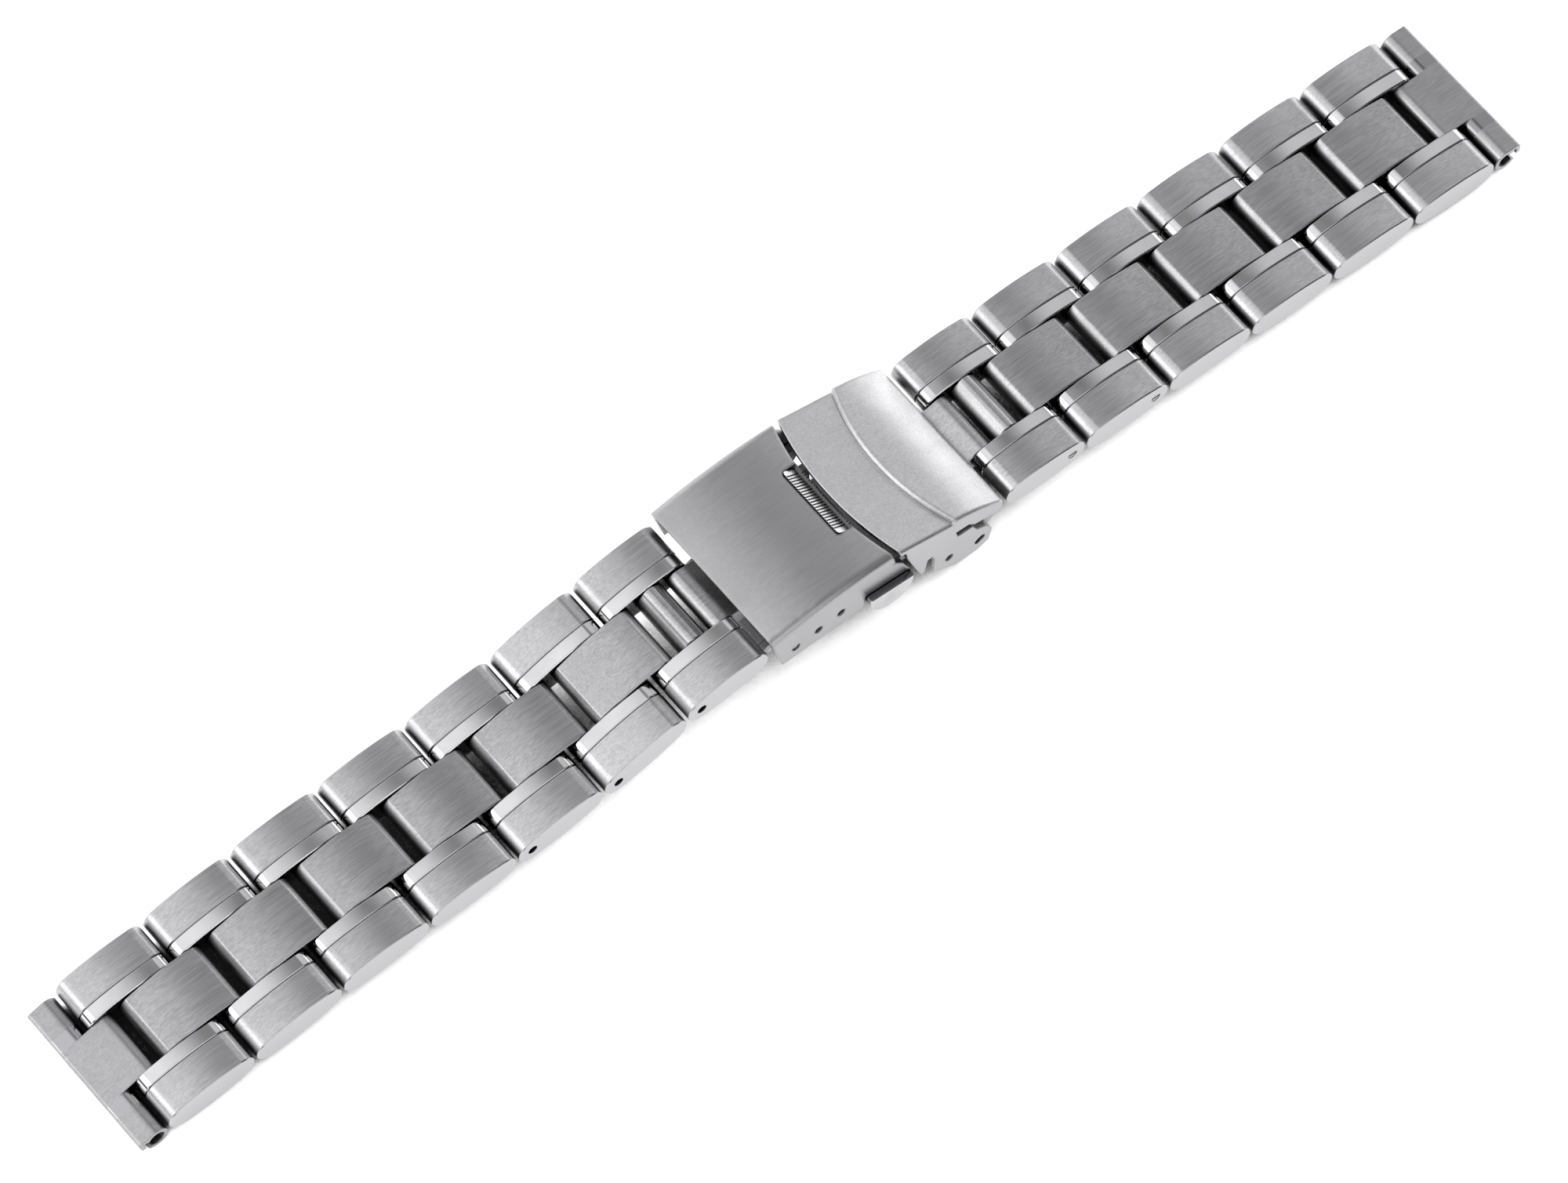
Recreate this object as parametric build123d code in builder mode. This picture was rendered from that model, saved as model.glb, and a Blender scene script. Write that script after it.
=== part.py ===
from build123d import *
from math import asin, cos, degrees, hypot, radians, sin
import os

# Link watch bracelet with a folding clasp, face up, as it lies on a table.
# +X runs along the band, -Y is the side that shows, +Z is up, the origin is
# under the middle of the band on the table.

# Band rows, all in millimetres
band_width = 20.0
centre_width = 8.0
strip_width = 1.75
row_gap = 0.05
edge_break = 0.12

# Links
pin_place = 3.8
link_pitch = 11.8
outer_nose_radius = 1.8
outer_crown = 0.3
clasp_nose_place = 4.05
last_nose_place = 3.6
pin_radius = 0.6
pin_end_depth = 0.9
sunk_pin = 0.8
flush_pin = 0.05
running_clearance = 0.05
hidden_pin_reach = 1.5
centre_nose_height = 3.4
centre_nose_bulge = 0.95
centre_thickness = 4.2
centre_start = -1.6
centre_end = 9.3
spacer_end = 2.0
corner_radius = 0.4
slot_half_height = 0.12
slot_depth = 0.15

# Slope of each link in degrees, rising to the clasp, and its name, from the
# clasp outwards
left_slopes = [6.6, 14.6, 6.4, 1.7, 1.9, 6.3, 4.9]
right_slopes = [2.4, 3.65, 3.8, 4.56, 3.7, 5.4]
left_names = ["07", "06", "05", "04", "03", "02", "01"]
right_names = ["08", "09", "10", "11", "12", "13"]
left_end_slope = 17.5
right_end_slope = 4.6

# Connectors between the band and the clasp
connector_radius = 1.3
blade_connector_radius = 1.15
left_connector_length = 5.0
left_connector_slope = -10.4
right_connector_length = 3.97
right_connector_slope = -17.0
spring_bar_radius = 0.75
spring_tip_radius = 0.5
spring_tip_length = 0.8

# End pieces, a folded sheet that curls round the watch's spring bar
end_inset = 0.2
knuckle_radius = 1.2
plate_reach = 5.7
wing_reach = 2.2
sheet = 0.5
fold_radius = 0.45
lip_depth = 1.5
curl_bore_radius = 1.0
curl_open_start = 140.0
curl_open_end = 212.0

# Clasp
clasp_length = 32.4
clasp_height = 15.0
cover_overhang = 0.55
cover_wall = 0.9
cover_sheet = 0.9
cover_fillet = 1.0
notch_radius = 0.5
lip_bow = 1.65
lip_gap = 0.8
hole_radius = 0.55
hole_pitch = 3.12
hole_rise = 0.25
hole_count = 3

# Grip and its carrier
grip_length = 1.65
grip_width = 9.6
grip_fall = 1.1
grip_clearance = 0.1
rib_count = 21
rib_pitch_share = 0.0417
rib_groove = 0.16
rib_depth = 0.12
carrier_length = 3.2
carrier_gap = 0.2
carrier_lug_rebate = 0.25
carrier_lug_back = 1.2
carrier_lug_width = 1.0

# Push buttons
button_stand = 0.85
button_travel = 1.0
button_clearance = 0.12
riser_room = 1.25
riser_length = 2.6
stem_radius = 1.1
stem_length = 3.0
stem_clearance = 0.08
bore_room = 1.9
spring_radius = 0.6
spring_wire = 0.14
spring_turns = 5
spring_bite = 0.9
spring_pocket_radius = 0.8
spring_pocket = 2.2

# Folding blades
blade_knuckle_radius = 1.2
blade_pin_radius = 0.5
blade_thickness = 1.2
blade_gap = 0.1
lower_thickness = 1.0
lower_lug_width = 0.8
lower_lug_radius = 1.3
lug_foot_radius = 0.6
catch_gap = 0.35
catch_width = 0.8
catch_length = 1.4
ear_gap = 0.3
ear_width = 0.8
ear_top_radius = 0.7
bar_end_gap = 0.3
stud_radius = 0.42
stud_length = 0.25
slot_length = 1.5
slot_height = 0.95
slot_lean = 27.0
slot_back = 0.28

# Safety lever
lever_overhang = 0.05
lever_cheek = 0.8
lever_roll = 0.5
step_roll = 0.45
lever_corner_radius = 0.9
lever_pin_radius = 0.4
lever_pin_sink = 0.6
groove_bow = 2.25
tail_radius = 1.3
tail_wall = 0.5
tail_end_angle = 30.0
tail_inner_angle = 100.0
overrun = 30.0

# Points on the clasp's side, as shares of its length and height
fold_hinge_shares = (0.0833, 0.2933)
cover_hinge_shares = (0.4815, 0.5267)
left_bar_shares = (0.0988, 0.6667)
right_bar_shares = (0.9506, 0.4133)
lever_pin_shares = (0.9537, 0.5600)
stud_shares = (0.8938, 0.3000)
cheek_hole_shares = (0.7543, 0.3467)
stem_shares = (0.4444, 0.7333)
grip_corner_shares = (0.4222, 1.0100)
carrier_low_shares = (0.3951, 0.6200)
carrier_top_shares = (0.3951, 0.9067)
carrier_lug_shares = (0.4444, 0.6933)
riser_low_shares = (0.4074, 0.5667)
riser_top_shares = (0.4074, 0.8200)
lower_start_shares = (0.1296, 0.2000)
lower_end_shares = (0.8951, 0.2000)
ear_start_shares = (0.7901, 0.2000)
lug_foot_shares = (0.1728, 0.2400)
catch_low_shares = (0.5309, 0.2000)
catch_top_shares = (0.5309, 0.5733)
lip_side_shares = (0.5451, 0.0000)
groove_side_shares = (0.7747, 0.0000)
tail_edge_shares = (0.9969, 0.0000)

# Outlines on the clasp's side, as shares of its length and height
cover_top_shares = [(0.000, 0.933), (0.293, 1.000), (0.515, 0.970)]
cover_low_shares = [
    (0.522, 0.847), (0.556, 0.767), (0.583, 0.627), (0.394, 0.680), (0.389, 0.527), (0.040, 0.547)]
button_shares = [(0.401, 0.663), (0.583, 0.613), (0.475, 0.413)]
cheek_shares = [
    (0.565, 0.920), (0.574, 0.780), (0.602, 0.593), (0.633, 0.393), (0.648, 0.407), (0.660, 0.547),
    (0.682, 0.547), (0.694, 0.453), (0.698, 0.287), (0.784, 0.167), (0.877, 0.160), (0.923, 0.200),
    (0.938, 0.333), (0.914, 0.427), (0.873, 0.473), (0.852, 0.567), (0.790, 0.580), (0.781, 0.660),
    (0.836, 0.647), (0.861, 0.587), (0.969, 0.520), (0.988, 0.580), (0.969, 0.620), (0.883, 0.740),
    (0.784, 0.807), (0.753, 0.787)]
ear_shares = [
    (0.790, 0.200), (0.904, 0.200), (0.988, 0.373), (0.972, 0.567), (0.935, 0.567), (0.907, 0.440),
    (0.840, 0.387), (0.790, 0.280)]
lip_shares = [(0.491, 0.987), (0.886, 0.7246)]
plateau_shares = [(0.656, 0.9220), (0.784, 0.837)]
underside_shares = [(0.877, 0.730), (0.784, 0.797), (0.756, 0.770), (0.491, 0.943)]

half_band = band_width / 2
half_centre = centre_width / 2
strip_outer = half_centre + strip_width
outer_width = half_band - strip_outer
half_cover = half_band + cover_overhang
half_lever = half_cover + lever_overhang
riser_inner = half_cover - cover_wall - riser_room
half_carrier = riser_inner - button_travel - carrier_gap
half_middle = half_carrier - carrier_lug_rebate - carrier_lug_width - blade_gap
lug_inner = half_middle + blade_gap
lower_lug_outer = lug_inner + lower_lug_width
ear_outer = half_lever - lever_cheek - ear_gap
ear_inner = ear_outer - ear_width
curl_outer_radius = curl_bore_radius + sheet
curl_place = wing_reach + curl_outer_radius
curl_drop = curl_outer_radius - knuckle_radius

os.makedirs("parts", exist_ok=True)


def save(solid, name):
    solid.label = name
    export_step(solid, "parts/" + name + ".step")


# Places of the hinges along the band, worked out from the clasp outwards
def back(point, slope, towards, distance):
    angle = radians(slope)
    return (point[0] - towards * distance * cos(angle), point[1] - distance * sin(angle))


def chain(bar, towards, reach, connector_slope, slopes):
    joint = back(bar, connector_slope, towards, reach)
    pins = []
    middles = []
    middle = back(joint, slopes[0], towards, pin_place)
    for index, slope in enumerate(slopes):
        if index:
            middle = back(pins[-1], slope, towards, link_pitch - pin_place)
        middles.append(middle)
        pins.append(back(middle, slope, towards, pin_place))
    return joint, middles, pins


def spot(shares):
    return (clasp_length * shares[0], clasp_height * shares[1])


def end_tip(slope):
    """How far an end piece's folded edge lies outside its pin."""
    angle = radians(slope)
    along = (plate_reach - fold_radius) * cos(angle)
    return along + (knuckle_radius - fold_radius) * sin(angle) + fold_radius


def curl_low(pin, slope):
    """Lowest height of an end piece's curl."""
    angle = radians(slope)
    return pin[1] - curl_place * sin(angle) - curl_drop * cos(angle) - curl_outer_radius


left_bar = spot(left_bar_shares)
right_bar = spot(right_bar_shares)
left_joint, left_middles, left_pins = chain(
    left_bar, 1, left_connector_length, left_connector_slope, left_slopes)
right_joint, right_middles, right_pins = chain(
    right_bar, -1, right_connector_length, right_connector_slope, right_slopes)
left_tip = left_pins[-1][0] - end_tip(left_end_slope)
right_tip = right_pins[-1][0] + end_tip(right_end_slope)
shift = -(left_tip + right_tip) / 2
lift = -min(curl_low(left_pins[-1], left_end_slope), curl_low(right_pins[-1], right_end_slope))


def side(point, slope=0.0, towards=1, y=0.0):
    """Plane across the band: local x towards the clasp and local y up."""
    angle = radians(slope)
    return Plane(
        origin=(point[0] + shift, y, point[1] + lift),
        x_dir=(towards * cos(angle), 0, sin(angle)),
        z_dir=(0, -towards, 0))


def clasp_side(y=0.0):
    return side((0, 0), y=y)


def places(shares):
    return [spot(pair) for pair in shares]


# Outlines
def pillow(plane, start, end, radius, crown):
    """Two round noses joined by gently crowned faces."""
    half = (end - start) / 2
    middle = (start + end) / 2
    crown_radius = (half ** 2 + 2 * radius * crown + crown ** 2) / (2 * crown)
    lean = half / (crown_radius - radius)
    rise = radius * cos(asin(lean))
    top = radius + crown
    left = start - radius * lean
    right = end + radius * lean
    with BuildSketch(plane) as outline:
        with BuildLine():
            ThreePointArc((left, rise), (middle, top), (right, rise))
            ThreePointArc((right, rise), (end + radius, 0), (right, -rise))
            ThreePointArc((right, -rise), (middle, -top), (left, -rise))
            ThreePointArc((left, -rise), (start - radius, 0), (left, rise))
        make_face()
    return outline.sketch


def centre_outline(plane, start, end):
    """Centre link: blunt rounded noses and a low crown."""
    inner_start = start + centre_nose_bulge
    inner_end = end - centre_nose_bulge
    middle = (start + end) / 2
    top = centre_thickness / 2
    edge = centre_nose_height / 2
    with BuildSketch(plane) as outline:
        with BuildLine():
            ThreePointArc((inner_start, edge), (middle, top), (inner_end, edge))
            ThreePointArc((inner_end, edge), (end, 0), (inner_end, -edge))
            ThreePointArc((inner_end, -edge), (middle, -top), (inner_start, -edge))
            ThreePointArc((inner_start, -edge), (start, 0), (inner_start, edge))
        make_face()
        fillet(outline.vertices(), corner_radius)
    return outline.sketch


def bar_between(plane, start, start_radius, end, end_radius):
    """Hull of two circles."""
    with BuildSketch(plane) as outline:
        with Locations(start):
            Circle(start_radius)
        with Locations(end):
            Circle(end_radius)
        make_hull()
    return outline.sketch


def discs(plane, centres, radius):
    with BuildSketch(plane) as outline:
        with Locations(*centres):
            Circle(radius)
    return outline.sketch


# Band links. Each outer pair carries its hinge pin, except where the pin is
# a removable one, which is a piece of its own.
def make_outer_links(plane, nose_place, removable, through_side, end_pin):
    shoulder = half_band - outer_width / 2
    with BuildPart() as outer_links:
        for y in (-shoulder, shoulder):
            outline = pillow(plane.offset(y), -pin_place, nose_place, outer_nose_radius, outer_crown)
            extrude(outline, amount=outer_width / 2, both=True)
        rims = outer_links.edges().filter_by(GeomType.CIRCLE)
        chamfer(rims, edge_break)
        if removable:
            open_end = through_side * (half_band + overrun)
            blind_end = -through_side * (half_band - pin_end_depth)
            hole = discs(plane.offset(open_end), [(-pin_place, 0)], pin_radius)
            extrude(hole, amount=blind_end - open_end, mode=Mode.SUBTRACT)
        else:
            hinge_pin = discs(plane, [(-pin_place, 0)], pin_radius)
            extrude(hinge_pin, amount=half_band - pin_end_depth, both=True)
        if end_pin:
            connector_pin = discs(plane, [(pin_place, 0)], pin_radius)
            extrude(connector_pin, amount=half_band - pin_end_depth, both=True)
        hidden_hole = discs(plane, [(0, 0)], pin_radius)
        extrude(hidden_hole, amount=strip_outer + hidden_pin_reach, both=True, mode=Mode.SUBTRACT)
    return outer_links.part


def make_strips(plane, nose_place, end_pin):
    shoulder = half_centre + strip_width / 2
    with BuildPart() as polished_strips:
        for y in (-shoulder, shoulder):
            outline = pillow(plane.offset(y), -pin_place, nose_place, outer_nose_radius, outer_crown)
            extrude(outline, amount=strip_width / 2, both=True)
        chamfer(polished_strips.edges().filter_by(GeomType.CIRCLE), edge_break)
        centres = [(-pin_place, 0), (0, 0)]
        if end_pin:
            centres.append((pin_place, 0))
        extrude(discs(plane, centres, pin_radius), amount=strip_outer, both=True, mode=Mode.SUBTRACT)
    return polished_strips.part


def make_centre_link(plane, end):
    """Centre link with the hidden pin that fixes it in its own outer links."""
    with BuildPart() as centre_link:
        extrude(centre_outline(plane, centre_start, end), amount=half_centre - row_gap, both=True)
        chamfer(centre_link.edges().filter_by(GeomType.CIRCLE), edge_break)
        if end == centre_end:
            hinge_hole = discs(plane, [(link_pitch - pin_place, 0)], pin_radius + running_clearance)
            extrude(hinge_hole, amount=half_centre, both=True, mode=Mode.SUBTRACT)
        hidden_pin = discs(plane, [(0, 0)], pin_radius)
        extrude(hidden_pin, amount=strip_outer + hidden_pin_reach, both=True)
    return centre_link.part


def make_removable_pin(plane, sunk):
    """Pin pushed in from the near side, with its slotted head at the band's edge."""
    near = plane.z_dir.Y
    head = near * -(half_band - sunk)
    tail = near * (half_band - pin_end_depth)
    with BuildPart() as removable_pin:
        with BuildSketch(plane.offset(head)):
            with Locations((-pin_place, 0)):
                Circle(pin_radius)
        extrude(amount=tail - head)
        with BuildSketch(plane.offset(head)):
            with Locations((-pin_place, 0)):
                Rectangle(pin_radius * 2, slot_half_height * 2)
        extrude(amount=near * slot_depth, mode=Mode.SUBTRACT)
    return removable_pin.part


def make_side_links(names, towards, middles, slopes, loose_sinks):
    """All links of one side, from the clasp outwards."""
    for index, (middle, slope) in enumerate(zip(middles, slopes)):
        plane = side(middle, slope, towards)
        at_clasp = index == 0
        nose_place = last_nose_place if at_clasp else clasp_nose_place
        removable = index < len(loose_sinks)
        through_side = -plane.z_dir.Y
        name = names[index]
        outer = make_outer_links(plane, nose_place, removable, through_side, at_clasp)
        save(outer, "outer_links_" + name)
        save(make_strips(plane, nose_place, at_clasp), "polished_strips_" + name)
        end = spacer_end if at_clasp else centre_end
        save(make_centre_link(plane, end), "centre_link_" + name)
        if removable:
            save(make_removable_pin(plane, loose_sinks[index]), "removable_pin_" + name)


make_side_links(left_names, 1, left_middles, left_slopes, [sunk_pin, sunk_pin, sunk_pin])
make_side_links(right_names, -1, right_middles, right_slopes, [flush_pin, flush_pin])


# Connectors
def make_connector(pin, bar, radius, name):
    """Short link from a band pin to a spring bar."""
    length = hypot(pin[0] - bar[0], pin[1] - bar[1])
    slope = degrees(asin((bar[1] - pin[1]) / length))
    towards = 1 if bar[0] > pin[0] else -1
    plane = side(pin, slope, towards)
    with BuildPart() as connector:
        outline = bar_between(plane, (0, 0), connector_radius, (length, 0), radius)
        extrude(outline, amount=half_centre - row_gap, both=True)
        chamfer(connector.edges().group_by(Axis.Y)[0], edge_break)
        chamfer(connector.edges().group_by(Axis.Y)[-1], edge_break)
        with BuildSketch(plane):
            Circle(pin_radius + running_clearance)
            with Locations((length, 0)):
                Circle(spring_bar_radius + running_clearance)
        extrude(amount=half_centre, both=True, mode=Mode.SUBTRACT)
    save(connector.part, name)


make_connector(left_joint, left_bar, connector_radius, "connector_left")
make_connector(right_joint, right_bar, blade_connector_radius, "connector_right")


def make_spring_bar(place, half_length, name):
    with BuildPart() as spring_bar:
        with BuildSketch(side(place)):
            Circle(spring_bar_radius)
        extrude(amount=half_length, both=True)
        with BuildSketch(side(place)):
            Circle(spring_tip_radius)
        extrude(amount=half_length + spring_tip_length, both=True)
    save(spring_bar.part, name)


# End pieces
def make_end_piece(pin, slope, towards, name):
    """Local x runs along the plate towards the clasp, from the hinge pin."""
    plane = side(pin, slope, towards)
    curl = (-curl_place, -curl_drop)
    under = knuckle_radius - sheet
    foot = knuckle_radius - lip_depth
    reach = curl_outer_radius + overrun
    start = radians(curl_open_start)
    end = radians(curl_open_end)
    opening = [
        (reach * cos(start), reach * sin(start)), (-reach, 0), (reach * cos(end), reach * sin(end))]
    half_end = half_band - end_inset
    with BuildPart() as end_piece:
        with BuildSketch(plane):
            with Locations(curl):
                Circle(curl_outer_radius)
                Polygon((0, 0), *opening, align=None, mode=Mode.SUBTRACT)
            with BuildLine():
                Polyline(
                    (-plate_reach, foot), (-plate_reach, knuckle_radius), (-curl_place, knuckle_radius),
                    (-curl_place, under), (-plate_reach + sheet, under), (-plate_reach + sheet, foot),
                    close=True)
            make_face()
            with Locations(curl):
                Circle(curl_bore_radius, mode=Mode.SUBTRACT)
        extrude(amount=half_end, both=True)
        corner = [
            edge for edge in end_piece.edges().filter_by(Axis.Y)
            if abs(plane.to_local_coords(edge.center()).X + plate_reach) < edge_break
            and plane.to_local_coords(edge.center()).Y > 0]
        fillet(corner, fold_radius)
        with BuildSketch(plane):
            Circle(knuckle_radius)
            with BuildLine():
                Polyline(
                    (-curl_place, knuckle_radius), (0, knuckle_radius), (0, -knuckle_radius),
                    (-curl_place, -curl_drop), close=True)
            make_face()
            with Locations(curl):
                Circle(curl_bore_radius, mode=Mode.SUBTRACT)
            Circle(pin_radius + running_clearance, mode=Mode.SUBTRACT)
        extrude(amount=half_centre - row_gap, both=True)
    save(end_piece.part, name)


make_end_piece(left_pins[-1], left_end_slope, 1, "end_piece_left")
make_end_piece(right_pins[-1], right_end_slope, -1, "end_piece_right")


# Clasp cover
def bow_cut(plane, side_place, bow, half_width, towards):
    """Area beside an edge that bows to the left in the middle: 1 right, -1 left."""
    far_place = side_place + towards * overrun
    with BuildSketch(plane) as outline:
        with BuildLine():
            ThreePointArc((side_place, -half_width), (side_place - bow, 0), (side_place, half_width))
            Polyline(
                (side_place, half_width), (side_place, half_width + overrun),
                (far_place, half_width + overrun), (far_place, -half_width - overrun),
                (side_place, -half_width - overrun), (side_place, -half_width))
        make_face()
    return outline.sketch


lip_plane = Plane(origin=(shift, 0, lift), x_dir=(1, 0, 0), z_dir=(0, 0, 1))
lip_side_place = spot(lip_side_shares)[0]
grip_start, grip_top = spot(grip_corner_shares)
hole_places = [
    (left_bar[0] + index * hole_pitch, left_bar[1] + index * hole_rise) for index in range(hole_count)]
top_left, top_middle, top_right = places(cover_top_shares)
top_cut_height = places(cover_low_shares)[0][1]

with BuildPart() as cover:
    with BuildSketch(clasp_side()):
        with BuildLine():
            ThreePointArc(top_left, top_middle, top_right)
            Polyline(top_right, *places(cover_low_shares), top_left)
        make_face()
    extrude(amount=half_cover, both=True)
    top_edges = cover.edges().filter_by(GeomType.CIRCLE)
    fillet(top_edges, cover_fillet)
    with BuildSketch(clasp_side()):
        with BuildLine():
            ThreePointArc(
                (top_left[0] - overrun, top_left[1] - cover_sheet - clasp_height),
                (top_middle[0], top_middle[1] - cover_sheet),
                (top_right[0] + overrun, top_right[1] - cover_sheet - clasp_height))
            Line(
                (top_right[0] + overrun, top_right[1] - cover_sheet - clasp_height),
                (top_left[0] - overrun, top_left[1] - cover_sheet - clasp_height))
        make_face()
    extrude(amount=half_cover - cover_wall, both=True, mode=Mode.SUBTRACT)
    cut_plane = lip_plane.offset(top_cut_height)
    right_of_edge = bow_cut(cut_plane, lip_side_place - lip_gap, lip_bow, half_cover, 1)
    notch_start = grip_start - grip_clearance
    with BuildSketch(cut_plane) as mouth:
        with Locations((notch_start + overrun / 2, 0)):
            Rectangle(overrun, grip_width + 2 * grip_clearance)
        add(cut_plane.to_local_coords(right_of_edge))
        inner_corners = mouth.vertices().group_by(Axis.X)[0]
        fillet(inner_corners, notch_radius)
    extrude(amount=overrun, mode=Mode.SUBTRACT)
    with BuildSketch(clasp_side()):
        with Locations(*hole_places):
            Circle(hole_radius)
    extrude(amount=overrun, both=True, mode=Mode.SUBTRACT)
save(cover.part, "clasp_cover")
make_spring_bar(left_bar, half_cover - cover_wall - row_gap, "spring_bar_left")

# Carrier with the ribbed grip, fixed in the cover
grip_slope = Vector(grip_length, 0, -grip_fall).normalized()
grip_end = grip_start + grip_length
cover_hinge = spot(cover_hinge_shares)
stem_spot = spot(stem_shares)
carrier_low = spot(carrier_low_shares)
carrier_top = spot(carrier_top_shares)
carrier_end = carrier_low[0] + carrier_length
stem_bore = stem_radius + stem_clearance
stem_end = riser_inner - stem_length
bore_end = stem_end - bore_room
carrier_lug_middle = lug_inner + carrier_lug_width / 2

with BuildPart() as carrier:
    with BuildSketch(clasp_side()):
        Polygon(
            carrier_low, (carrier_end, carrier_low[1]), (carrier_end, carrier_top[1]), carrier_top,
            align=None)
    extrude(amount=half_carrier, both=True)
    with BuildPart(mode=Mode.PRIVATE) as grip:
        with BuildSketch(clasp_side()):
            Polygon(
                (grip_start, carrier_low[1]), (grip_end, carrier_low[1]),
                (grip_end, grip_top - grip_fall), (grip_start, grip_top), align=None)
        extrude(amount=grip_width / 2, both=True)
        fillet(grip.edges().filter_by(Axis.Z), notch_radius - grip_clearance)
    add(grip.part)
    rib_origin = (grip_start + shift, 0, grip_top + lift)
    with BuildSketch(Plane(origin=rib_origin, x_dir=(0, 1, 0), z_dir=grip_slope)):
        with GridLocations(grip_width * rib_pitch_share, 0, rib_count, 1):
            Rectangle(rib_groove, 2 * rib_depth)
    extrude(amount=grip_length * 2, both=True, mode=Mode.SUBTRACT)
    for y in (-carrier_lug_middle, carrier_lug_middle):
        lug = bar_between(
            clasp_side(y), cover_hinge, blade_knuckle_radius, spot(carrier_lug_shares), carrier_lug_back)
        extrude(lug, amount=carrier_lug_width / 2, both=True)
    for end in (-1, 1):
        bore = discs(clasp_side(end * bore_end), [stem_spot], stem_bore)
        extrude(bore, amount=-end * half_cover, mode=Mode.SUBTRACT)
    pin_bore = discs(clasp_side(), [cover_hinge], blade_pin_radius + running_clearance)
    extrude(pin_bore, amount=half_cover, both=True, mode=Mode.SUBTRACT)
save(carrier.part, "button_carrier")


# Push buttons, one on each side of the cover
def make_button(end, name):
    """D shaped button; end is -1 on the near side and 1 on the far side."""
    corner_left, corner_right, low = places(button_shares)
    riser_low = spot(riser_low_shares)
    riser_top = spot(riser_top_shares)
    inner = clasp_side(end * riser_inner)
    with BuildPart() as button:
        with BuildSketch(inner):
            with BuildLine():
                ThreePointArc(corner_left, low, corner_right)
                Line(corner_right, corner_left)
            make_face()
        extrude(amount=-end * (half_cover + button_stand - riser_inner))
        rim = button.faces().sort_by(Axis.Y)[0 if end < 0 else -1].edges()
        chamfer(rim, edge_break)
        with BuildSketch(inner):
            Polygon(
                riser_low, (riser_low[0] + riser_length, riser_low[1]),
                (riser_top[0] + riser_length, riser_top[1]), riser_top, align=None)
        extrude(amount=-end * (half_cover - cover_wall - button_clearance - riser_inner))
        stem = discs(inner, [stem_spot], stem_radius)
        extrude(stem, amount=end * stem_length)
        pocket = discs(clasp_side(end * stem_end), [stem_spot], spring_pocket_radius)
        extrude(pocket, amount=-end * spring_pocket, mode=Mode.SUBTRACT)
    save(button.part, name)


make_button(-1, "push_button_near")
make_button(1, "push_button_far")

# Button springs, seated on the bottoms of the carrier's bores
spring_length = bore_room + spring_bite
with BuildPart() as button_springs:
    for end in (-1, 1):
        seat = Plane(
            origin=(stem_spot[0] + shift, end * (bore_end + spring_wire), stem_spot[1] + lift),
            x_dir=(1, 0, 0), z_dir=(0, end, 0))
        coil = seat * Helix(
            (spring_length - 2 * spring_wire) / spring_turns, spring_length - 2 * spring_wire,
            spring_radius)
        with BuildSketch(Plane(origin=coil @ 0, z_dir=coil % 0)) as wire:
            Circle(spring_wire)
        sweep(wire.sketch, path=coil)
save(button_springs.part, "button_springs")

# Folding blades
fold_hinge = spot(fold_hinge_shares)
with BuildPart() as middle_blade:
    plate = bar_between(clasp_side(), fold_hinge, blade_thickness / 2, cover_hinge, blade_thickness / 2)
    extrude(plate, amount=half_middle, both=True)
    knuckles = discs(clasp_side(), [fold_hinge, cover_hinge], blade_knuckle_radius)
    extrude(knuckles, amount=half_middle, both=True)
    pin_holes = discs(clasp_side(), [fold_hinge, cover_hinge], blade_pin_radius)
    extrude(pin_holes, amount=half_cover, both=True, mode=Mode.SUBTRACT)
save(middle_blade.part, "middle_blade")

with BuildPart() as blade_pins:
    extrude(discs(clasp_side(), [fold_hinge], blade_pin_radius), amount=lower_lug_outer, both=True)
    cover_pin = discs(clasp_side(), [cover_hinge], blade_pin_radius)
    extrude(cover_pin, amount=lug_inner + carrier_lug_width, both=True)
save(blade_pins.part, "blade_hinge_pins")

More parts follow.
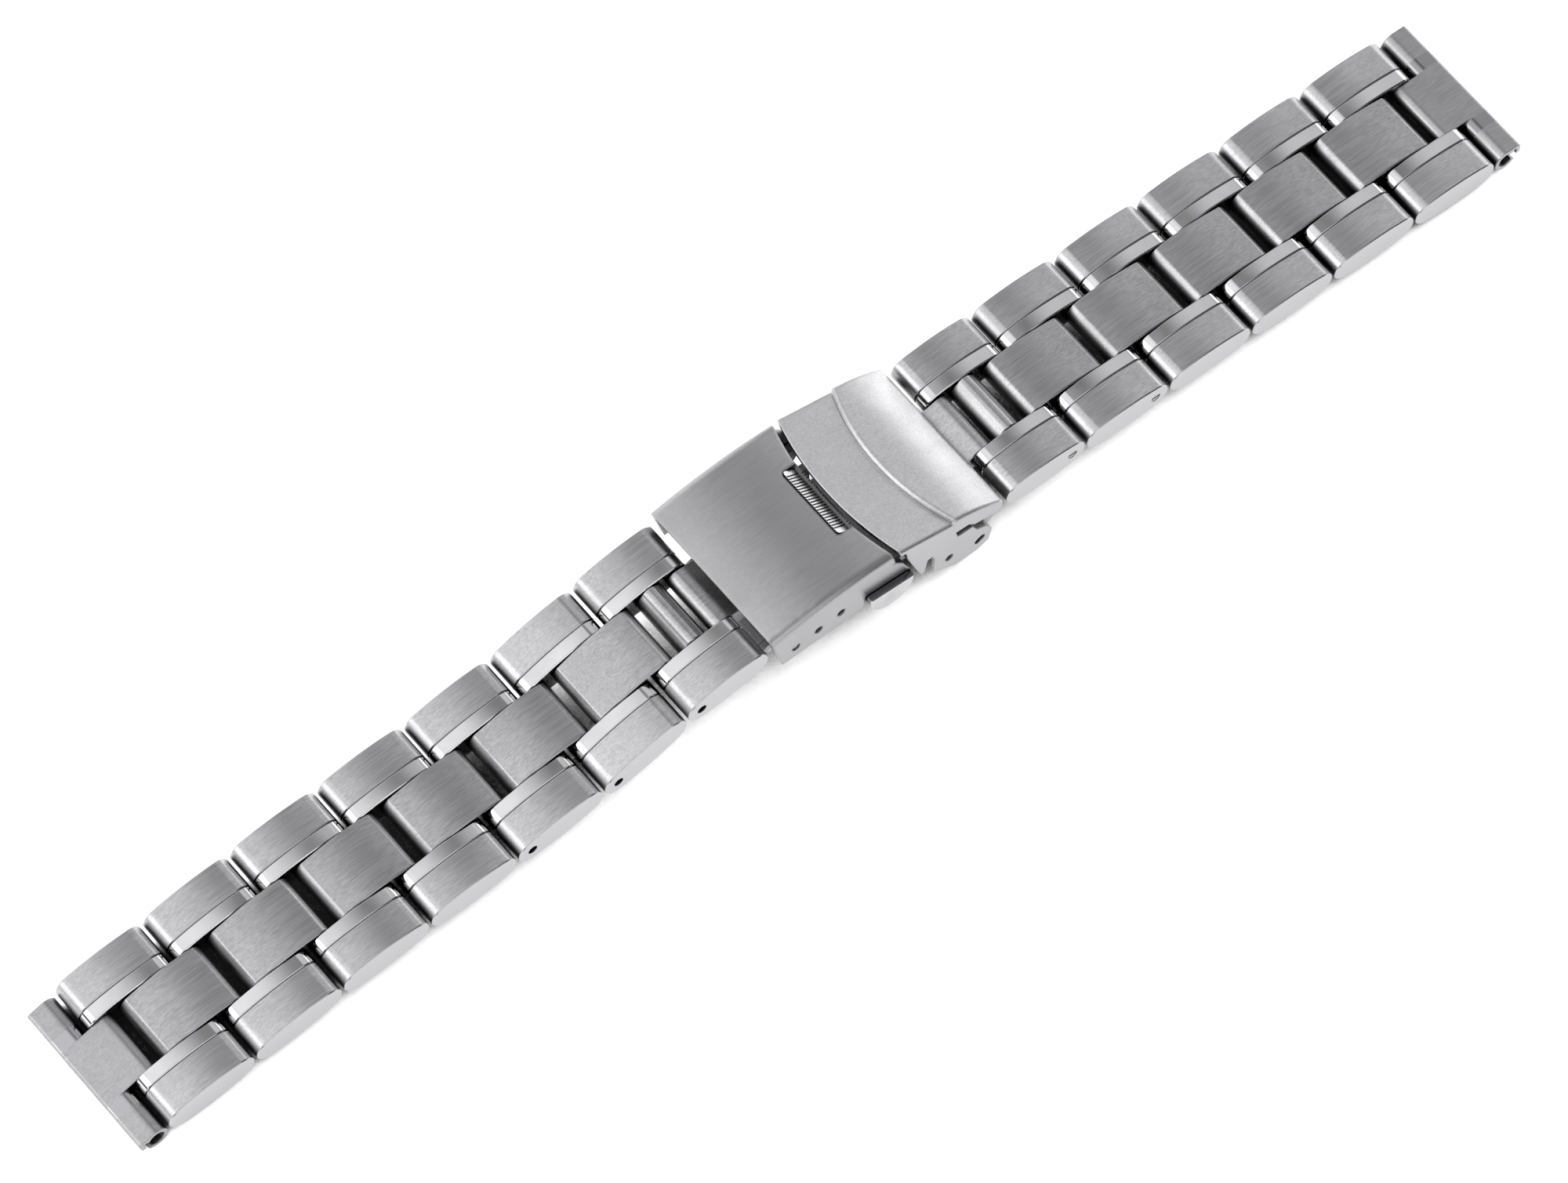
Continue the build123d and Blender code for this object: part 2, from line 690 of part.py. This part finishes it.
lever_pin_spot = spot(lever_pin_shares)
lower_start, lower_floor = spot(lower_start_shares)
lower_end = spot(lower_end_shares)[0]
ear_start = spot(ear_start_shares)[0]
catch_low = spot(catch_low_shares)
catch_top = spot(catch_top_shares)
stud_spot = spot(stud_shares)
with BuildPart() as lower_blade:
    with BuildSketch(Plane(origin=(shift, 0, lift + lower_floor))):
        with Locations(((lower_start + lower_end) / 2, 0)):
            Rectangle(lower_end - lower_start, 2 * lower_lug_outer)
        with Locations(((ear_start + lower_end) / 2, 0)):
            Rectangle(lower_end - ear_start, 2 * ear_outer)
    extrude(amount=lower_thickness)
    ear_middle = (ear_inner + ear_outer) / 2
    lug_middle = lug_inner + lower_lug_width / 2
    catch_middle = half_middle + catch_gap + catch_width / 2
    for end in (-1, 1):
        with BuildSketch(clasp_side(end * ear_middle)):
            Polygon(*places(ear_shares), align=None)
            with Locations(right_bar):
                Circle(lower_lug_radius)
            with Locations(lever_pin_spot):
                Circle(ear_top_radius)
            with Locations(right_bar):
                Circle(hole_radius, mode=Mode.SUBTRACT)
            with Locations(lever_pin_spot):
                Circle(lever_pin_radius, mode=Mode.SUBTRACT)
        extrude(amount=ear_width / 2, both=True)
        stud = discs(clasp_side(end * ear_outer), [stud_spot], stud_radius)
        extrude(stud, amount=-end * stud_length)
        lug = bar_between(
            clasp_side(end * lug_middle), fold_hinge, blade_knuckle_radius, spot(lug_foot_shares),
            lug_foot_radius)
        extrude(lug, amount=lower_lug_width / 2, both=True)
        with BuildSketch(clasp_side(end * catch_middle)):
            Polygon(
                catch_low, (catch_low[0] + catch_length, catch_low[1]),
                (catch_top[0] + catch_length, catch_top[1]), catch_top, align=None)
        extrude(amount=catch_width / 2, both=True)
    fold_bore = discs(clasp_side(), [fold_hinge], blade_pin_radius + running_clearance)
    extrude(fold_bore, amount=half_cover, both=True, mode=Mode.SUBTRACT)
save(lower_blade.part, "lower_blade")
make_spring_bar(right_bar, ear_inner - bar_end_gap, "spring_bar_right")

# Safety lever
lever_pin_reach = half_lever - lever_pin_sink
with BuildPart() as lever_pin:
    extrude(discs(clasp_side(), [lever_pin_spot], lever_pin_radius), amount=lever_pin_reach, both=True)
save(lever_pin.part, "lever_pin")


def on_tail(radius, angle):
    return (
        lever_pin_spot[0] + radius * cos(radians(angle)),
        lever_pin_spot[1] + radius * sin(radians(angle)))


lip_edge, lip_end = places(lip_shares)
plateau_back, plateau_start = places(plateau_shares)
groove_side_place = spot(groove_side_shares)[0]
tail_edge = spot(tail_edge_shares)[0]
tail_inner = tail_radius - tail_wall
inner_mid_angle = (tail_inner_angle + tail_end_angle) / 2
lever_cheek_middle = half_lever - lever_cheek / 2
tail_end = on_tail(tail_radius, tail_end_angle)


# One arc goes on from the plateau's line and touches the round tail
tail_centre = Vector(*lever_pin_spot)
fall = (Vector(*plateau_start) - Vector(*plateau_back)).normalized()
inwards = Vector(fall.Y, -fall.X)
away = Vector(*plateau_start) - tail_centre
top_radius = (tail_radius ** 2 - away.dot(away)) / (2 * (inwards.dot(away) + tail_radius))
top_centre = Vector(*plateau_start) + inwards * top_radius
tail_touch = top_centre + (tail_centre - top_centre) * (top_radius / (top_radius - tail_radius))


def upper_sides(form):
    """Edges along both sides of a form's top."""
    return [
        edge for edge in form.edges()
        if abs(abs(edge.center().Y) - half_lever) < edge_break
        and edge.center().Z > lift + tail_end[1]
        and abs((edge @ 0 - edge @ 1).X) > edge_break]


# The lever's outer form: the lip's slope, and a bowed step up to the plateau
with BuildPart() as lip_form:
    with BuildSketch(clasp_side()):
        Polygon(lip_edge, lip_end, (lip_end[0], 0), (lip_edge[0], 0), align=None)
    extrude(amount=half_lever, both=True)
    fillet(upper_sides(lip_form), lever_roll)

with BuildPart() as plateau_form:
    with BuildSketch(clasp_side()):
        with BuildLine():
            Line(plateau_back, plateau_start)
            top_arc = TangentArc(plateau_start, tail_touch, tangent=fall)
            TangentArc(tail_touch, tail_end, tangent=top_arc % 1)
            Polyline(tail_end, (tail_end[0], 0), (plateau_back[0], 0), plateau_back)
        make_face()
    extrude(amount=half_lever, both=True)
    left_of_groove = bow_cut(lip_plane, groove_side_place, groove_bow, half_lever, -1)
    extrude(left_of_groove, amount=overrun, mode=Mode.SUBTRACT)
    fillet(upper_sides(plateau_form), lever_roll)
    fillet(plateau_form.edges().filter_by(GeomType.ELLIPSE).sort_by(Axis.Z)[-1], step_roll)

with BuildPart() as safety_lever:
    with BuildSketch(clasp_side()):
        with BuildLine():
            ThreePointArc(
                on_tail(tail_inner, tail_end_angle), on_tail(tail_inner, inner_mid_angle),
                on_tail(tail_inner, tail_inner_angle))
            Polyline(
                on_tail(tail_inner, tail_inner_angle), *places(underside_shares),
                (lip_edge[0], clasp_height + overrun), on_tail(overrun, tail_end_angle),
                on_tail(tail_inner, tail_end_angle))
        make_face()
    extrude(amount=half_lever, both=True)
    for end in (-1, 1):
        with BuildSketch(clasp_side(end * lever_cheek_middle)):
            Polygon(*places(cheek_shares), align=None)
            with Locations(spot(cheek_hole_shares)):
                Circle(hole_radius, mode=Mode.SUBTRACT)
            slot_x = stud_spot[0] - slot_back * cos(radians(slot_lean))
            slot_z = stud_spot[1] - slot_back * sin(radians(slot_lean))
            with Locations((slot_x, slot_z)):
                SlotOverall(slot_length, slot_height, rotation=slot_lean, mode=Mode.SUBTRACT)
        extrude(amount=lever_cheek / 2, both=True)
    with BuildSketch(lip_plane) as corners:
        with Locations((tail_edge / 2, 0)):
            Rectangle(tail_edge, 2 * half_lever)
        fillet(corners.vertices().group_by(Axis.X)[-1], lever_corner_radius)
    extrude(amount=overrun, mode=Mode.INTERSECT)
    add(lip_form.part + plateau_form.part, mode=Mode.INTERSECT)
    pin_bore = discs(clasp_side(), [lever_pin_spot], lever_pin_radius + running_clearance)
    extrude(pin_bore, amount=lever_pin_reach + row_gap, both=True, mode=Mode.SUBTRACT)
    left_of_edge = bow_cut(lip_plane, lip_side_place, lip_bow, half_lever, -1)
    extrude(left_of_edge, amount=overrun, mode=Mode.SUBTRACT)
save(safety_lever.part, "safety_lever")
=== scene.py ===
import bpy
from mathutils import Matrix, Vector

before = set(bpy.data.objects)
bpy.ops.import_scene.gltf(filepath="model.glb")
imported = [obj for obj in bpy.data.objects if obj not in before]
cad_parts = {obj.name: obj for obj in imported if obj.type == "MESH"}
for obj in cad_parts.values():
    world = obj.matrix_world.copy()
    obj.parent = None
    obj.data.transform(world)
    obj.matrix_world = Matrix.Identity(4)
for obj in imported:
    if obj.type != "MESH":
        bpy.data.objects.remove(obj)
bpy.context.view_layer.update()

MM = 0.001

# The camera stands at the photograph's viewing angle, far away with a long lens
camera_place = Vector((-327.989, -408.92, 1007.173)) * MM
camera_right = Vector((0.777265, -0.629166, -0.002927))
camera_up = Vector((0.559365, 0.688889, 0.461024))
camera_lens = 240.427
sensor_width = 36.0
nearest_seen = 50 * MM
farthest_seen = 20000 * MM

# The floor: a card much wider than the view
floor_width = 3000 * MM
floor_grain = 2.5 * MM
floor_grain_detail = 3.0
floor_roughness = 0.9
floor_glow = 0.8
card_light = "fcfcfc"
card_dark = "f8f8f8"
# A shadow painted under the band: where the card sees little of the room, its colour and glow go to this
# near black
card_in_shade = "0c0c0c"
shade_reach = 25 * MM
shade_samples = 16
shaded_view = 0.26
lit_view = 0.38

# The room: dark round the horizon, grey above, with large soft windows of light
horizon_height = 0.05
zenith_height = 0.95
horizon_light = 0.03
zenith_light = 0.31
room_colour = "fdfdff"
windows = (
    # direction, cosine of the outer edge, cosine of the inner edge, brightness
    ((-0.52, 0.32, 0.79), 0.66, 0.94, 0.95),
    ((-0.80, 0.34, 0.50), 0.93, 0.98, 1.6),
    ((0.74, 0.36, 0.57), 0.84, 0.96, 0.55),
    ((0.96, 0.28, 0.10), 0.93, 0.98, 1.5),
    ((-0.10, -0.90, 0.42), 0.86, 0.97, 1.2),
    ((0.05, 0.93, 0.36), 0.88, 0.97, 1.2),
)

# Brushing: real lines are near 0.03 mm wide; they are drawn at 0.12 mm, the finest that shows
brush_length = 9 * MM
brush_width = 0.12 * MM
broad_length = 14 * MM
broad_width = 0.6 * MM
broad_share = 0.2
brush_stretch = 0.5

# Hairlines that a buffing wheel leaves, drawn as coarse as the brushing
hair_length = 3 * MM
hair_width = 0.15 * MM
hair_depth = 0.002 * MM
hair_strength = 0.2

line_detail = 2.0
line_roughness = 0.6

# Haze that changes slowly over a face, and how far it moves the roughness
brushed_haze_size = 5 * MM
brushed_haze_detail = 2.0
polished_haze_size = 3 * MM
polished_haze_detail = 3.0
top_haze = (-0.04, 0.05)
flank_haze = (-0.03, 0.04)
polished_haze = (-0.03, 0.05)

# Nearly all of a noise lies between these two values
noise_low = 0.3
noise_high = 0.7

# Edges: the two normals agree on a flat face and part on a rounded edge; near an edge the colour is
# lightened as a painted highlight
flat_agreement = 0.99
edge_agreement = 0.85
edge_samples = 4
polished_edge = 0.1 * MM

# Gaps: shade painted into the steel, by how much of the room a point sees: dark at the first value,
# unshaded at the second
gap_shade_depth = 3 * MM
gap_shade_full_at = 0.3
gap_shade_none_at = 0.62
gap_shade_samples = 6
gap_shade_colour = "1c1c1d"

# A face counts as a flank from here on, as it turns towards the band's sides
flank_starts = 0.5
flank_whole = 0.85

# The two smooth lanes of an end piece lie in line with the polished strips
lane_place = 4.9 * MM
lane_half_width = 0.85 * MM

# Settings that several nodes share
smooth = {"interpolation_type": "SMOOTHSTEP"}
colours = {"data_type": "RGBA"}
numbers = {"data_type": "FLOAT"}
larger = {"operation": "MAXIMUM"}
size_only = {"operation": "ABSOLUTE"}
alignment = {"operation": "DOT_PRODUCT"}


def linear(code):
    """The linear colour of an sRGB hex value."""
    channels = [int(code[i:i + 2], 16) / 255 for i in (0, 2, 4)]
    return [c / 12.92 if c <= 0.04045 else ((c + 0.055) / 1.055) ** 2.4 for c in channels] + [1.0]


def add(tree, kind, settings=None, **inputs):
    """Adds a node with its settings; inputs go by name, or by number as n0, n1, as a value or a link."""
    made = tree.nodes.new(kind)
    for name, value in (settings or {}).items():
        setattr(made, name, value)
    for name, value in inputs.items():
        by_number = name[0] == "n" and name[1:].isdigit()
        socket = made.inputs[int(name[1:])] if by_number else made.inputs[name.replace("_", " ")]
        if isinstance(value, bpy.types.NodeSocket):
            tree.links.new(value, socket)
        else:
            socket.default_value = value
    return made.outputs


def start(name):
    """A new material with an empty node tree."""
    material = bpy.data.materials.new(name)
    material.use_nodes = True
    material.node_tree.nodes.clear()
    return material, material.node_tree


def lines_along(tree, place, length, width):
    """Fine lines along the band, of this length and width."""
    scale = (1 / length, 1 / width, 1 / width)
    squeezed = add(tree, "ShaderNodeMapping", Vector=place, Scale=scale)["Vector"]
    noise = add(
        tree, "ShaderNodeTexNoise", Vector=squeezed, Scale=1.0, Detail=line_detail,
        Roughness=line_roughness)
    return noise["Fac"]


def rounded_edges_and_highlight(tree, radius):
    """Edges rubbed round, as a normal, and how near an edge is, from 0 to 1, for a highlight painted
    along the edges.
    """
    rounded = add(tree, "ShaderNodeBevel", {"samples": edge_samples}, Radius=radius)["Normal"]
    flat = add(tree, "ShaderNodeNewGeometry")["Normal"]
    agree = add(tree, "ShaderNodeVectorMath", alignment, n0=rounded, n1=flat)["Value"]
    near = add(
        tree, "ShaderNodeMapRange", smooth, Value=agree,
        From_Min=flat_agreement, From_Max=edge_agreement, To_Min=0.0, To_Max=1.0)["Result"]
    return rounded, near


def with_painted_gap_shade(tree, colour):
    """The colour, with shade painted into narrow gaps where a point sees little of the room."""
    view = add(
        tree, "ShaderNodeAmbientOcclusion", {"samples": gap_shade_samples}, Distance=gap_shade_depth)["AO"]
    unshaded = add(
        tree, "ShaderNodeMapRange", smooth, Value=view,
        From_Min=gap_shade_full_at, From_Max=gap_shade_none_at, To_Min=0.0, To_Max=1.0)["Result"]
    return add(tree, "ShaderNodeMix", colours, Factor=unshaded, n6=linear(gap_shade_colour), n7=colour)[2]


def hazy(tree, cloud, rough, haze):
    """A roughness that the haze moves up and down."""
    return add(
        tree, "ShaderNodeMapRange", Value=cloud, From_Min=noise_low, From_Max=noise_high,
        To_Min=rough + haze[0], To_Max=rough + haze[1])["Result"]


def in_lanes(tree, place):
    """1 in the two lanes of an end piece, and 0 beside them."""
    across = add(tree, "ShaderNodeSeparateXYZ", Vector=place)["Y"]
    from_middle = add(tree, "ShaderNodeMath", size_only, n0=across)["Value"]
    return add(
        tree, "ShaderNodeMath", {"operation": "COMPARE"}, n0=from_middle, n1=lane_place,
        n2=lane_half_width)["Value"]


def brushed_steel(name, light, dark, flank_colour, rough, flank_rough, roll, depth, lane_painted_reflection=None):
    """Steel with lines brushed along the band; its flanks have a finish of their own.

    light and dark are the crests and the bottoms of the lines, roll is the radius of the rounded
    edges and of the highlight painted along them, and depth is that of the lines. With a lane colour two
    smooth lanes are pressed in, their colour a painted reflection.
    """
    material, tree = start(name)
    spots = add(tree, "ShaderNodeTexCoord")
    place = spots["Object"]
    fine = lines_along(tree, place, brush_length, brush_width)
    broad = lines_along(tree, place, broad_length, broad_width)
    cloud = add(
        tree, "ShaderNodeTexNoise", Vector=place, Scale=1 / brushed_haze_size,
        Detail=brushed_haze_detail)["Fac"]
    lines = add(tree, "ShaderNodeMix", numbers, Factor=broad_share, n2=fine, n3=broad)["Result"]
    rounded, near = rounded_edges_and_highlight(tree, roll)
    facing = add(tree, "ShaderNodeSeparateXYZ", Vector=spots["Normal"])["Y"]
    sideways = add(tree, "ShaderNodeMath", size_only, n0=facing)["Value"]
    flank = add(
        tree, "ShaderNodeMapRange", smooth, Value=sideways,
        From_Min=flank_starts, From_Max=flank_whole, To_Min=0.0, To_Max=1.0)["Result"]

    # The crests of the lines are the bright parts, and a highlight is painted along the edges
    crests = add(
        tree, "ShaderNodeMapRange", smooth, Value=lines,
        From_Min=noise_low, From_Max=noise_high, To_Min=0.0, To_Max=1.0)["Result"]
    bright = add(tree, "ShaderNodeMath", larger, n0=crests, n1=near)["Value"]
    colour = add(tree, "ShaderNodeMix", colours, Factor=bright, n6=linear(dark), n7=linear(light))[2]
    colour = add(tree, "ShaderNodeMix", colours, Factor=flank, n6=colour, n7=linear(flank_colour))[2]
    # The lanes' colour is a painted reflection, lighter on one end piece and darker on the other
    if lane_painted_reflection:
        lane = in_lanes(tree, place)
        colour = add(
            tree, "ShaderNodeMix", colours, Factor=lane, n6=colour, n7=linear(lane_painted_reflection))[2]
        flank = add(tree, "ShaderNodeMath", larger, n0=flank, n1=lane)["Value"]
    # Shade painted into the gaps
    colour = with_painted_gap_shade(tree, colour)

    top_finish = hazy(tree, cloud, rough, top_haze)
    flank_finish = hazy(tree, cloud, flank_rough, flank_haze)
    roughness = add(
        tree, "ShaderNodeMix", numbers, Factor=flank, n2=top_finish, n3=flank_finish)["Result"]
    top = add(tree, "ShaderNodeMath", {"operation": "SUBTRACT"}, n0=1.0, n1=flank)["Value"]
    relief = add(
        tree, "ShaderNodeBump", Height=lines, Strength=top, Distance=depth, Normal=rounded)["Normal"]
    along = add(tree, "ShaderNodeTangent", {"direction_type": "RADIAL", "axis": "X"})["Tangent"]
    metal = add(
        tree, "ShaderNodeBsdfPrincipled", Metallic=1.0, Base_Color=colour, Roughness=roughness,
        Normal=relief, Anisotropic=brush_stretch, Tangent=along)
    add(tree, "ShaderNodeOutputMaterial", Surface=metal["BSDF"])
    return material


def polished_steel(name, light, dark, rough):
    """Polished steel with faint hairlines and a little haze."""
    material, tree = start(name)
    place = add(tree, "ShaderNodeTexCoord")["Object"]
    hair = lines_along(tree, place, hair_length, hair_width)
    cloud = add(
        tree, "ShaderNodeTexNoise", Vector=place, Scale=1 / polished_haze_size,
        Detail=polished_haze_detail)["Fac"]
    rounded, near = rounded_edges_and_highlight(tree, polished_edge)
    # The haze and a highlight painted along the edges are the bright parts
    bright = add(tree, "ShaderNodeMath", larger, n0=cloud, n1=near)["Value"]
    colour = add(tree, "ShaderNodeMix", colours, Factor=bright, n6=linear(dark), n7=linear(light))[2]
    # Shade painted into the gaps
    colour = with_painted_gap_shade(tree, colour)
    relief = add(
        tree, "ShaderNodeBump", Height=hair, Strength=hair_strength, Distance=hair_depth,
        Normal=rounded)["Normal"]
    metal = add(
        tree, "ShaderNodeBsdfPrincipled", Metallic=1.0, Base_Color=colour,
        Roughness=hazy(tree, cloud, rough, polished_haze), Normal=relief)
    add(tree, "ShaderNodeOutputMaterial", Surface=metal["BSDF"])
    return material


# Long satin lines over the tops, and flanks polished until they mirror the table
outer_steel = brushed_steel(
    "stainless steel, brushed tops and polished flanks", light="cecece", dark="b2b2b4",
    flank_colour="b4b4b6", rough=0.33, flank_rough=0.13, roll=0.12 * MM, depth=0.0015 * MM)

# The same lines, a little darker, as the middle row is brushed on its own
centre_steel = brushed_steel(
    "stainless steel, belt brushed", light="c2c2c2", dark="a4a4a6",
    flank_colour="9c9c9e", rough=0.35, flank_rough=0.20, roll=0.12 * MM, depth=0.0015 * MM)

# The finest lines and widely rolled rims with a wide highlight painted along them, so the cover shades
# smoothly from face to side
cover_steel = brushed_steel(
    "stainless sheet, pressed and fine brushed", light="c0c0c0", dark="b4b4b6",
    flank_colour="a0a0a2", rough=0.34, flank_rough=0.24, roll=0.5 * MM, depth=0.0007 * MM)

# Heavier lines that sparkle where the lever turns to the light
lever_steel = brushed_steel(
    "stainless sheet, folded and brushed", light="e0e0e0", dark="c8c8c9",
    flank_colour="a8a8aa", rough=0.34, flank_rough=0.22, roll=0.35 * MM, depth=0.0018 * MM)

# Dull sheet with two smooth lanes, whose colour, lighter than at the other end, paints in a reflection of
# the bright side of the room at this end
left_end_steel = brushed_steel(
    "stainless sheet, folded, bright lanes", light="b8b8b8", dark="a4a4a6",
    flank_colour="9a9a9c", rough=0.36, flank_rough=0.12, roll=0.25 * MM, depth=0.0010 * MM,
    lane_painted_reflection="acacae")

# The same dull sheet, with the lanes painted darker as a reflection of the dark side of the room
right_end_steel = brushed_steel(
    "stainless sheet, folded, dark lanes", light="bcbcbc", dark="a8a8aa",
    flank_colour="9a9a9c", rough=0.36, flank_rough=0.12, roll=0.25 * MM, depth=0.0010 * MM,
    lane_painted_reflection="949496")

# Small blocks rubbed soft all round, with no sharp bright line
satin_steel = brushed_steel(
    "stainless steel, barrel finished", light="c4c4c4", dark="a8a8a9",
    flank_colour="a8a8aa", rough=0.36, flank_rough=0.30, roll=0.15 * MM, depth=0.0010 * MM)

# Greyer and duller than the outside, as the strip stays as it left the rolls
blade_steel = brushed_steel(
    "spring steel, rolled", light="b4b4b5", dark="98989a",
    flank_colour="98989a", rough=0.38, flank_rough=0.30, roll=0.12 * MM, depth=0.0010 * MM)

# Mirrors the dark and the bright parts of the room side by side
mirror_steel = polished_steel(
    "stainless steel, mirror polished", light="dcdcdc", dark="c0c0c1", rough=0.09)

# A soft mirror whose lower rim is darkened by the shade painted into gaps, which sets the button off from
# the white card
button_steel = polished_steel(
    "stainless steel, buffed", light="d2d2d2", dark="9c9c9e", rough=0.16)

# Small dull ends, darker than the links that they stand in
pin_steel = polished_steel(
    "stainless steel, turned", light="c0c0c1", dark="8c8c8e", rough=0.22)

# Bright crests on the ribs, where the highlight painted along edges falls, with dark grooves between
# them, where the painted gap shade falls
grip_steel = polished_steel(
    "stainless steel, milled", light="e4e4e4", dark="b0b0b2", rough=0.2)

# A thin bright line along each coil
wire_steel = polished_steel(
    "spring wire, drawn", light="c4c4c5", dark="a0a0a2", rough=0.2)

# The first words of a node's name tell its finish
finishes = (
    ("outer_links", outer_steel),
    ("polished_strips", mirror_steel),
    ("centre_link", centre_steel),
    ("removable_pin", pin_steel),
    ("connector", satin_steel),
    ("end_piece_left", left_end_steel),
    ("end_piece_right", right_end_steel),
    ("clasp_cover", cover_steel),
    ("spring_bar", pin_steel),
    ("button_carrier", grip_steel),
    ("push_button", button_steel),
    ("button_springs", wire_steel),
    ("middle_blade", blade_steel),
    ("blade_hinge_pins", pin_steel),
    ("lower_blade", blade_steel),
    ("lever_pin", pin_steel),
    ("safety_lever", lever_steel),
)
for node_name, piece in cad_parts.items():
    for first_words, finish in finishes:
        if node_name.startswith(first_words):
            piece.data.materials.clear()
            piece.data.materials.append(finish)
            break


def white_card():
    """Matt card with a faint grain, bright but for the band's shadow, which is painted into its colour
    and glow.
    """
    material, tree = start("white card, lit from below")
    place = add(tree, "ShaderNodeTexCoord")["Object"]
    grain = add(
        tree, "ShaderNodeTexNoise", Vector=place, Scale=1 / floor_grain,
        Detail=floor_grain_detail)["Fac"]
    paper = add(
        tree, "ShaderNodeMix", colours, Factor=grain, n6=linear(card_dark), n7=linear(card_light))[2]
    # Painted shadow: the card darkens where it sees little of the room
    view = add(tree, "ShaderNodeAmbientOcclusion", {"samples": shade_samples}, Distance=shade_reach)["AO"]
    lit = add(
        tree, "ShaderNodeMapRange", smooth, Value=view,
        From_Min=shaded_view, From_Max=lit_view, To_Min=0.0, To_Max=1.0)["Result"]
    paper = add(tree, "ShaderNodeMix", colours, Factor=lit, n6=linear(card_in_shade), n7=paper)[2]
    card = add(
        tree, "ShaderNodeBsdfPrincipled", Base_Color=paper, Roughness=floor_roughness,
        Emission_Color=paper, Emission_Strength=floor_glow)
    add(tree, "ShaderNodeOutputMaterial", Surface=card["BSDF"])
    return material


def lay_floor():
    """A flat square under the band."""
    half = floor_width / 2
    corners = [(-half, -half, 0), (half, -half, 0), (half, half, 0), (-half, half, 0)]
    mesh = bpy.data.meshes.new("floor")
    mesh.from_pydata(corners, [], [(0, 1, 2, 3)])
    floor = bpy.data.objects.new("floor", mesh)
    bpy.context.scene.collection.objects.link(floor)
    mesh.materials.append(white_card())


def light_room():
    """Soft light from all round: a grey sky and the windows in it."""
    room = bpy.data.worlds.new("studio room")
    room.use_nodes = True
    bpy.context.scene.world = room
    sky = room.node_tree
    sky.nodes.clear()
    towards = add(sky, "ShaderNodeTexCoord")["Generated"]
    height = add(sky, "ShaderNodeSeparateXYZ", Vector=towards)["Z"]
    glow = add(
        sky, "ShaderNodeMapRange", smooth, Value=height, From_Min=horizon_height,
        From_Max=zenith_height, To_Min=horizon_light, To_Max=zenith_light)["Result"]
    for aim, outer, inner, brightness in windows:
        near = add(
            sky, "ShaderNodeVectorMath", alignment, n0=towards, n1=Vector(aim).normalized())["Value"]
        window = add(
            sky, "ShaderNodeMapRange", smooth, Value=near,
            From_Min=outer, From_Max=inner, To_Min=0.0, To_Max=brightness)["Result"]
        glow = add(sky, "ShaderNodeMath", {"operation": "ADD"}, n0=glow, n1=window)["Value"]
    light = add(sky, "ShaderNodeBackground", Color=linear(room_colour), Strength=glow)
    add(sky, "ShaderNodeOutputWorld", Surface=light["Background"])


def set_camera():
    """The camera of the photograph, with colours shown as they are."""
    data = bpy.data.cameras.new("camera")
    data.lens = camera_lens
    data.sensor_width = sensor_width
    data.sensor_fit = "HORIZONTAL"
    data.clip_start = nearest_seen
    data.clip_end = farthest_seen
    camera = bpy.data.objects.new("camera", data)
    bpy.context.scene.collection.objects.link(camera)
    camera_back = camera_right.cross(camera_up)
    turn = Matrix((camera_right, camera_up, camera_back)).transposed().to_4x4()
    camera.matrix_world = Matrix.Translation(camera_place) @ turn
    bpy.context.scene.camera = camera
    bpy.context.scene.view_settings.view_transform = "Standard"


lay_floor()
light_room()
set_camera()
